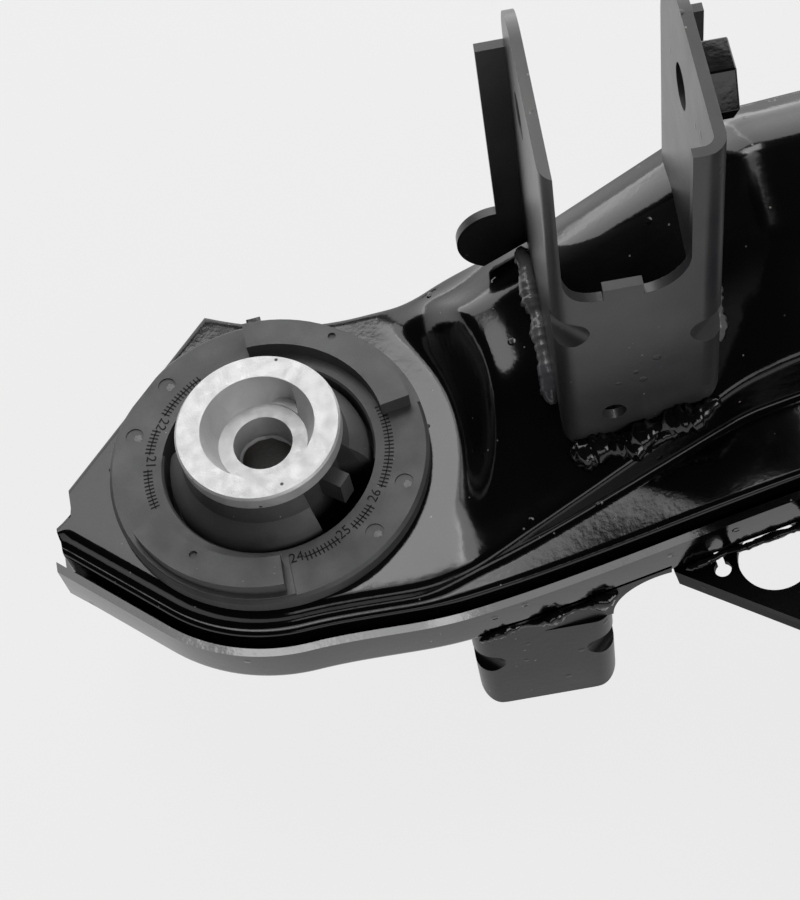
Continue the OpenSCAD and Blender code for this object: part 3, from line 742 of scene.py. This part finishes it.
def joined(parts):
    verts = []
    faces = []
    for points, loops in parts:
        start = len(verts)
        verts += [tuple(p) for p in points]
        faces += [tuple(start + k for k in loop) for loop in loops]
    return verts, faces


def turned(v, r, angle, x, s):
    """Plan point of a folded bracket: x along its depth and s across it, from its turned middle."""
    return v + x * math.cos(angle) + s * math.sin(angle), r - x * math.sin(angle) + s * math.cos(angle)


def tower_at(x, s, lift):
    v, r = turned(TOWER_V, TOWER_R, TOWER_TURN, x, s)
    return v, r, float(crown(r, v)) + lift


def foot_at(x, s, drop):
    v, r = turned(FOOT_V, FOOT_R, FOOT_TURN, x, s)
    return v, r, floor_z(r) - drop


TOWER_BEAD = 3.0
WEB_BEAD = 3.6
FOOT_BEAD = 2.0
THIN_BEAD = 1.3
CAN_BEAD = 1.9

# Where the beads of a corner start and end, and into how many points their paths are divided
WEB_PATH = (-22, 22, 40)
FOLD_PATH = (-21, 14, 36)
CHEEK_PATH = (-6, -66, 50)
BACK_PATH = (48, 91, 40)
SIDE_PATH = (-12, -66, 60)


def corner_beads(seed):
    """Beads at the feet of a tower, a bracket, a gusset and a can, as points and faces."""
    low_side = FOOT_HALF + 0.4
    rings = np.linspace(0, 2 * math.pi, 80)
    around = 1.035 * CAN_R
    can = [(around * math.cos(t), around * math.sin(t), floor_z(0) - 0.3) for t in rings]
    spans = np.linspace(GUSSET_FROM + 3, GUSSET_TO, 40)
    rows = [
        ([tower_at(2.2, s, 0.4) for s in np.linspace(*WEB_PATH)], WEB_BEAD, 0.45),
        ([tower_at(4.6, s, -0.4) for s in np.linspace(*FOLD_PATH)], TOWER_BEAD, 0.5),
        ([foot_at(x, -low_side, 0.2) for x in np.linspace(*CHEEK_PATH)], FOOT_BEAD, 0.2),
        ([foot_at(x, low_side, 0.2) for x in np.linspace(*CHEEK_PATH)], FOOT_BEAD, 0.2),
        ([(FOOT_V + 0.2, r, floor_z(r) + 0.6) for r in np.linspace(*BACK_PATH)], FOOT_BEAD, 0.5),
        ([(FOOT_V + 0.6, r, floor_z(r) + 0.4) for r in spans], THIN_BEAD, 0.3),
        (can, CAN_BEAD, 0.15),
    ]
    return joined([bead(path, size, seed + k, rough) for k, (path, size, rough) in enumerate(rows)])


def side_beads(seed):
    """Paler beads along the feet of a tower's two cheeks, as points and faces."""
    reach = np.linspace(*SIDE_PATH)
    rows = [[tower_at(x, face * (TOWER_HALF + 1.6), 1.0) for x in reach] for face in (-1, 1)]
    return joined([bead(path, TOWER_BEAD, seed + k, 0.22) for k, path in enumerate(rows)])


BEAD_KINDS = [("weld_beads", corner_beads, weld_paint), ("side_beads", side_beads, weld_pale)]
for number, (corner, sx, sy) in enumerate(CORNERS):
    for name, beads, material in BEAD_KINDS:
        verts, faces = beads(100 * number + 7)
        points = to_world(verts, sx, sy)
        add_piece(f"{corner}_{name}", points, flipped(faces, sx * sy < 0), material, 80)

STITCH = 64.0
STITCH_PITCH = 108.0
STITCHES = 6
SEAM_IN = 1.2
WALL_X = BUSH_X - FOOT_V
SEAM_BEAD = 1.7
END_BEAD = 1.8
TOP_BEAD = 2.0
SLEEVE_BEAD = 1.6

# Beads at the end of a cross-member: up the tray's wall, over the ledge, up the crown and across the top
WALL_TOP = 98
LEDGE_TOP = 103.4
LEDGE_PATH = (345, 364, 16)
RISE_X = 366.3
RISE_LEAN_Z = 103
RISE_PATH = (104, 111, 6)
TOP_X = 367.4
TOP_PATH = (-32, 32, 40)


def seam_beads(sy, seed):
    """Beads of a cross-member: stitches on its seam, both ends and both sleeves, as points and faces."""
    middle = sy * CROSS_Y
    rows = []
    for face in (-1, 1):
        y = middle + face * (CROSS_HALF - SEAM_IN)
        for k in range(STITCHES):
            x = STITCH_PITCH * (k - (STITCHES - 1) / 2)
            stitch = [(x - STITCH / 2, y, CROSS_SEAM), (x + STITCH / 2, y, CROSS_SEAM)]
            rows.append((stitch, SEAM_BEAD, UPRIGHT))
        for sx in (-1, 1):
            side = middle + face * (CROSS_HALF + 0.2)
            wall = [(sx * WALL_X, side, z) for z in np.linspace(CROSS_SEAM + 1, WALL_TOP, 6)]
            ledge = [(sx * x, side, LEDGE_TOP) for x in np.linspace(*LEDGE_PATH)]
            climb = np.linspace(*RISE_PATH)
            rise = [(sx * RISE_X, side - face * (z - RISE_LEAN_Z) * 0.1, z) for z in climb]
            rows.append((wall + ledge + rise, END_BEAD, (0.0, 1.0, 0.0)))
    for sx in (-1, 1):
        top = [(sx * TOP_X, middle + t, CROSS_TOP) for t in np.linspace(*TOP_PATH)]
        rows.append((top, TOP_BEAD, UPRIGHT))
        for z in (CROSS_LOW, CROSS_TOP):
            turns = np.linspace(0, 2 * math.pi, 60)
            reach = SLEEVE_R + 0.6
            ring = [(sx * SLEEVE_X + reach * math.cos(t), middle + reach * math.sin(t), z) for t in turns]
            rows.append((ring, SLEEVE_BEAD, UPRIGHT))
    return joined([bead(path, size, seed + k, 0.18, ref) for k, (path, size, ref) in enumerate(rows)])


for end, sy in (("front", -1), ("rear", 1)):
    verts, faces = seam_beads(sy, 900 if sy < 0 else 1300)
    add_piece(f"{end}_seam_beads", np.asarray(verts) * MM, flipped(faces, False), weld_paint, 80)

# Scale, pale spots, flash and the dark sheet of painted shade in each bore of the bushes
SCALE_R = 36.9
TICK_IN = 35.5
TICK_OUT = 38.3
TICK_W = 0.42
LINE_HALF = 0.16
INK_RISE = 0.1
SPOT_R = 1.25
SPOT_OFF = (0.7, 0.9)
SPOT_RISE = 0.03
FLASH_PROUD = 0.65
FLASH_RAGGED = 0.3
FLASH_Z = 1.2
FLASH_WAVE = 0.35
# The dark sheet in each bore below the flash is painted shade: its top and foot, how far it stands in front
# of the wall and behind it, and the lean of the bore's rim that the flash also follows
SHADE_TOP = 0.8
SHADE_LOW = -32.0
SHADE_PROUD = 0.06
SHADE_SUNK = 0.05
BORE_RIM_LEAN = 1.3
BORE_RIM_TURN = math.radians(255)
DIGIT_SIZE = 4.4
DIGIT_R = 36.2
ARCS = [(2.0, 103.0), (206.0, 284.0)]
NUMBERS = [("24", 3.5), ("25", 28.5), ("26", 52.0), ("21", 257.0), ("22", 235.5)]
TICK_TURN = 2.0
CLEAR_TURN = 4.0


def bar(corners, low, high):
    """Thin flat bar over a plan outline of four points, as points and faces."""
    verts = [(*c, low) for c in corners] + [(*c, high) for c in corners]
    sides = [(k, (k + 1) % 4, 4 + (k + 1) % 4, 4 + k) for k in range(4)]
    return verts, [(4, 5, 6, 7), (3, 2, 1, 0), *sides]


def arc_bar(inner, outer, start, end):
    corners = [polar(inner, start), polar(outer, start), polar(outer, end), polar(inner, end)]
    return bar(corners, FLANGE_TOP - 0.1, FLANGE_TOP + INK_RISE)


def free_of_numbers(degrees):
    return all(abs(degrees - at) > CLEAR_TURN for _, at in NUMBERS)


def scale_marks():
    parts = []
    for start, end in ARCS:
        for degrees in np.arange(start, end, TICK_TURN):
            if not free_of_numbers(degrees):
                continue
            half = math.degrees(TICK_W / 2 / SCALE_R)
            parts.append(arc_bar(TICK_IN, TICK_OUT, degrees - half, degrees + half))
            start_at = degrees - TICK_TURN / 2
            parts.append(arc_bar(SCALE_R - LINE_HALF, SCALE_R + LINE_HALF, start_at, start_at + TICK_TURN))
    return joined(parts)


def digit_mesh(text):
    """Points and faces of a plain number, flat, in millimetres."""
    curve = bpy.data.curves.new("digits", "FONT")
    curve.body = text
    curve.size = DIGIT_SIZE
    curve.align_x = "CENTER"
    curve.align_y = "CENTER"
    curve.extrude = INK_RISE
    curve.resolution_u = 3
    holder = bpy.data.objects.new("digits", curve)
    mesh = bpy.data.meshes.new_from_object(holder)
    verts = [tuple(v.co) for v in mesh.vertices]
    faces = [tuple(p.vertices) for p in mesh.polygons]
    bpy.data.objects.remove(holder)
    bpy.data.meshes.remove(mesh)
    bpy.data.curves.remove(curve)
    return verts, faces


def number_marks(sx, sy):
    parts = []
    for text, degrees in NUMBERS:
        v, r = polar(DIGIT_R, degrees)
        middle = to_world([(v, r, FLANGE_TOP)], sx, sy)[0]
        axis = to_world([(0, 0, FLANGE_TOP)], sx, sy)[0]
        top = (axis - middle) / np.linalg.norm(axis - middle)
        right = np.cross(top, UPRIGHT)
        verts, faces = digit_mesh(text)
        points = [middle + MM * (x * right + y * top + z * np.asarray(UPRIGHT)) for x, y, z in verts]
        parts.append((points, faces))
    return joined(parts)


def blotch(v, r, radius, z, seed):
    """Thin irregular patch, as points and faces."""
    rng = np.random.default_rng(seed)
    count = 18
    reach = radius * (1 + 0.28 * rng.uniform(-1, 1, count))
    turns = np.arange(count) * 2 * np.pi / count
    ring = [(v + d * math.cos(t), r + d * math.sin(t)) for d, t in zip(reach, turns)]
    verts = [(*p, z) for p in ring] + [(*p, z - 0.05) for p in ring]
    sides = [(k, count + k, count + (k + 1) % count, (k + 1) % count) for k in range(count)]
    return verts, [tuple(range(count)), tuple(reversed(range(count, 2 * count))), *sides]


def flash_ring(seed):
    """Ragged lip inside a core's bore, as points and faces."""
    rng = np.random.default_rng(seed)
    count = 96
    turns = np.arange(count) * 2 * np.pi / count
    proud = FLASH_PROUD + FLASH_RAGGED * slow_noise(rng, count, 5)
    height = FLASH_Z + BORE_RIM_LEAN * np.cos(turns - BORE_RIM_TURN) + FLASH_WAVE * slow_noise(rng, count, 4)
    proud[-4:] = np.linspace(proud[-4], proud[0], 4)
    height[-4:] = np.linspace(height[-4], height[0], 4)
    verts = []
    root = BORE_R + 0.1
    for t, p, z in zip(turns, proud, height):
        for radius, lift in ((root, 0.9), (BORE_R - p, 0.25), (BORE_R - p, -0.2), (root, -0.8)):
            verts.append((radius * math.cos(t), radius * math.sin(t), z + lift))
    faces = []
    for k in range(count):
        p = 4 * k
        q = 4 * ((k + 1) % count)
        faces += [(p + j, p + (j + 1) % 4, q + (j + 1) % 4, q + j) for j in range(4)]
    return verts, faces


# Rubber swelling under a core's head: distances from the axis and heights, then the angles that it spans
DOME = [
    (31.0, -5.0), (30.9, 1.0), (30.4, 3.6), (29.2, 6.0), (27.4, 8.4), (25.0, 10.8), (22.4, 12.8),
    (20.4, 13.8), (20.4, -5.0),
]
DOME_TURNS = [(73.5, 201.5), (253.5, 381.5)]


def lathe(profile, start, end, steps):
    """Closed sector of a turned form, as points and faces."""
    count = len(profile)
    verts = []
    for degrees in np.linspace(start, end, steps):
        verts += [(*polar(rho, degrees), z) for rho, z in profile]
    faces = []
    for i in range(steps - 1):
        for k in range(count):
            p = i * count + k
            q = i * count + (k + 1) % count
            faces.append((p, p + count, q + count, q))
    last = (steps - 1) * count
    return verts, faces + [tuple(range(count)), tuple(last + k for k in reversed(range(count)))]


def dark_bore_sheet():
    """Thin dark sheet on the lower wall of a core's bore, as points and faces: painted shade for the dark
    seen down the bore.
    """
    count = 72
    turns = np.arange(count) * 2 * np.pi / count
    verts = []
    inside = BORE_R - SHADE_PROUD
    behind = BORE_R + SHADE_SUNK
    for radius, z in ((inside, SHADE_TOP), (inside, SHADE_LOW), (behind, SHADE_LOW), (behind, SHADE_TOP)):
        lean = BORE_RIM_LEAN * (z > 0)
        for t in turns:
            verts.append((radius * math.cos(t), radius * math.sin(t), z + lean * math.cos(t - BORE_RIM_TURN)))
    faces = []
    for k in range(count):
        m = (k + 1) % count
        faces += [(a * count + k, b * count + k, b * count + m, a * count + m)
                  for a, b in ((0, 1), (1, 2), (2, 3), (3, 0))]
    return verts, faces


TAB_V = (-53.6, -50.8)
TAB_R = (1.6, 6.2)
TAB_Z = (-3.0, 1.6)


def far_tab():
    """Small turned-up tab on the outboard edge of the nose, as points and faces."""
    corners = [(TAB_V[0], TAB_R[0]), (TAB_V[1], TAB_R[0]), (TAB_V[1], TAB_R[1]), (TAB_V[0], TAB_R[1])]
    return bar(corners, *TAB_Z)


for number, (corner, sx, sy) in enumerate(CORNERS):
    flip = sx * sy < 0
    verts, faces = scale_marks()
    add_piece(f"{corner}_scale", to_world(verts, sx, sy), flipped(faces, flip), scale_ink)
    verts, faces = number_marks(sx, sy)
    add_piece(f"{corner}_scale_numbers", verts, flipped(faces, False), scale_ink)
    # Pale patches beside the round marks in the flange
    spots = []
    for k, at in enumerate(EJECTORS):
        v, r = polar(*at)
        z = FLANGE_TOP - EJECTOR_DEPTH + SPOT_RISE
        spots.append(blotch(v + SPOT_OFF[0], r + SPOT_OFF[1], SPOT_R, z, 10 * number + k))
    verts, faces = joined(spots)
    add_piece(f"{corner}_pale_spots", to_world(verts, sx, sy), flipped(faces, flip), pale_mark)
    verts, faces = flash_ring(number + 3)
    add_piece(f"{corner}_bore_flash", to_world(verts, sx, sy), flipped(faces, flip), alloy)
    verts, faces = joined([lathe(DOME, *turns, 60) for turns in DOME_TURNS])
    points = to_world(verts, sx, sy)
    add_piece(f"{corner}_bush_dome", points, flipped(faces, flip), dome_rubber_lightened, 50)
    # Dark sheet of painted shade in the bore
    verts, faces = dark_bore_sheet()
    add_piece(f"{corner}_painted_bore_shade", to_world(verts, sx, sy), flipped(faces, flip), shade_colour)
    verts, faces = far_tab()
    add_piece(f"{corner}_edge_tab", to_world(verts, sx, sy), flipped(faces, flip), paint)

# Camera at the photograph's viewing angle: above the frame, looking outboard and down over one corner
CAMERA_PLACE = (-0.10093, -0.33102, 0.56204)
CAMERA_AZIMUTH = math.radians(-0.017)
CAMERA_ELEVATION = math.radians(58.871)
CAMERA_ROLL = math.radians(-14.053)
QUARTER = math.pi / 2
camera_data = bpy.data.cameras.new("camera")
camera_data.sensor_width = 36.0
camera_data.lens = 75.06
camera_data.clip_start = 0.01
camera = bpy.data.objects.new("camera", camera_data)
scene.collection.objects.link(camera)
tipped = Matrix.Rotation(QUARTER - CAMERA_ELEVATION, 4, "X") @ Matrix.Rotation(CAMERA_ROLL, 4, "Z")
faced = Matrix.Rotation(QUARTER + CAMERA_AZIMUTH, 4, "Z")
camera.matrix_world = Matrix.Translation(CAMERA_PLACE) @ faced @ tipped
scene.camera = camera

# Floor and light
FLOOR_HALF = 60
FLOOR_GLOW_SHARE = 0.93
floor_mesh = bpy.data.meshes.new("floor")
far = FLOOR_HALF
floor_mesh.from_pydata([(-far, -far, 0), (far, -far, 0), (far, far, 0), (-far, far, 0)], [], [(0, 1, 2, 3)])
floor = bpy.data.objects.new("floor", floor_mesh)
scene.collection.objects.link(floor)
floor_material = bpy.data.materials.new("pale_floor")
floor_material.use_nodes = True
tree = floor_material.node_tree
tree.nodes.clear()
out = tree.nodes.new("ShaderNodeOutputMaterial")
matte = node(tree, "ShaderNodeBsdfDiffuse")
matte.inputs["Color"].default_value = (0.80, 0.80, 0.80, 1)
glow = node(tree, "ShaderNodeEmission")
glow.inputs["Color"].default_value = (0.863, 0.863, 0.863, 1)
path = node(tree, "ShaderNodeLightPath")
seen = node(tree, "ShaderNodeMath", operation="MAXIMUM")
tree.links.new(path.outputs["Is Camera Ray"], seen.inputs[0])
tree.links.new(path.outputs["Is Glossy Ray"], seen.inputs[1])
seen_all = node(tree, "ShaderNodeMath", operation="MAXIMUM")
tree.links.new(seen.outputs[0], seen_all.inputs[0])
tree.links.new(path.outputs["Is Transmission Ray"], seen_all.inputs[1])
share = node(tree, "ShaderNodeMath", operation="MULTIPLY")
share.inputs[1].default_value = FLOOR_GLOW_SHARE
tree.links.new(seen_all.outputs[0], share.inputs[0])
both = node(tree, "ShaderNodeMixShader")
tree.links.new(share.outputs[0], both.inputs["Fac"])
tree.links.new(matte.outputs["BSDF"], both.inputs[1])
tree.links.new(glow.outputs["Emission"], both.inputs[2])
tree.links.new(both.outputs["Shader"], out.inputs["Surface"])
floor_mesh.materials.append(floor_material)

world = bpy.data.worlds.new("studio")
scene.world = world
world.use_nodes = True
world.node_tree.nodes["Background"].inputs["Color"].default_value = (0.02, 0.02, 0.021, 1)
world.node_tree.nodes["Background"].inputs["Strength"].default_value = 1.0


def softbox(name, place, aim, size, power):
    lamp = bpy.data.lights.new(name, "AREA")
    lamp.shape = "RECTANGLE"
    lamp.size = size[0]
    lamp.size_y = size[1]
    lamp.energy = power
    holder = bpy.data.objects.new(name, lamp)
    scene.collection.objects.link(holder)
    holder.location = place
    turn = (Vector(aim) - Vector(place)).to_track_quat("-Z", "Y")
    holder.rotation_euler = turn.to_euler()
    holder.visible_camera = False
    return holder


CORNER_AIM = (-0.40, -0.37, 0.09)
CARD_FAR = 1.3
CARD_UP = 0.75
CARD_SIZE = (0.95, 1.5)
CARD_POWER = 10.3
for card, azimuth in (("card_right", 118.0), ("card_middle", 157.0), ("card_left", 196.0)):
    turn = math.radians(azimuth)
    x, y = CORNER_AIM[:2]
    place = (x + CARD_FAR * math.cos(turn), y + CARD_FAR * math.sin(turn), CARD_UP)
    softbox(card, place, (x, y, CARD_UP), CARD_SIZE, CARD_POWER)
softbox("key", (-1.054, -0.336, 1.271), CORNER_AIM, (0.44, 0.40), 3.0)
softbox("key_left", (-0.965, -0.658, 1.282), CORNER_AIM, (0.36, 0.60), 2.1)
softbox("top_left", (-0.654, -0.462, 1.360), CORNER_AIM, (0.35, 0.35), 0.7)
softbox("front_spot", (0.711, -0.312, 0.540), CORNER_AIM, (0.50, 0.36), 0.95)
softbox("fill", (0.90, 0.70, 1.10), (0, 0, 0.1), (1.0, 1.0), 13.0)

scene.view_settings.view_transform = "Standard"
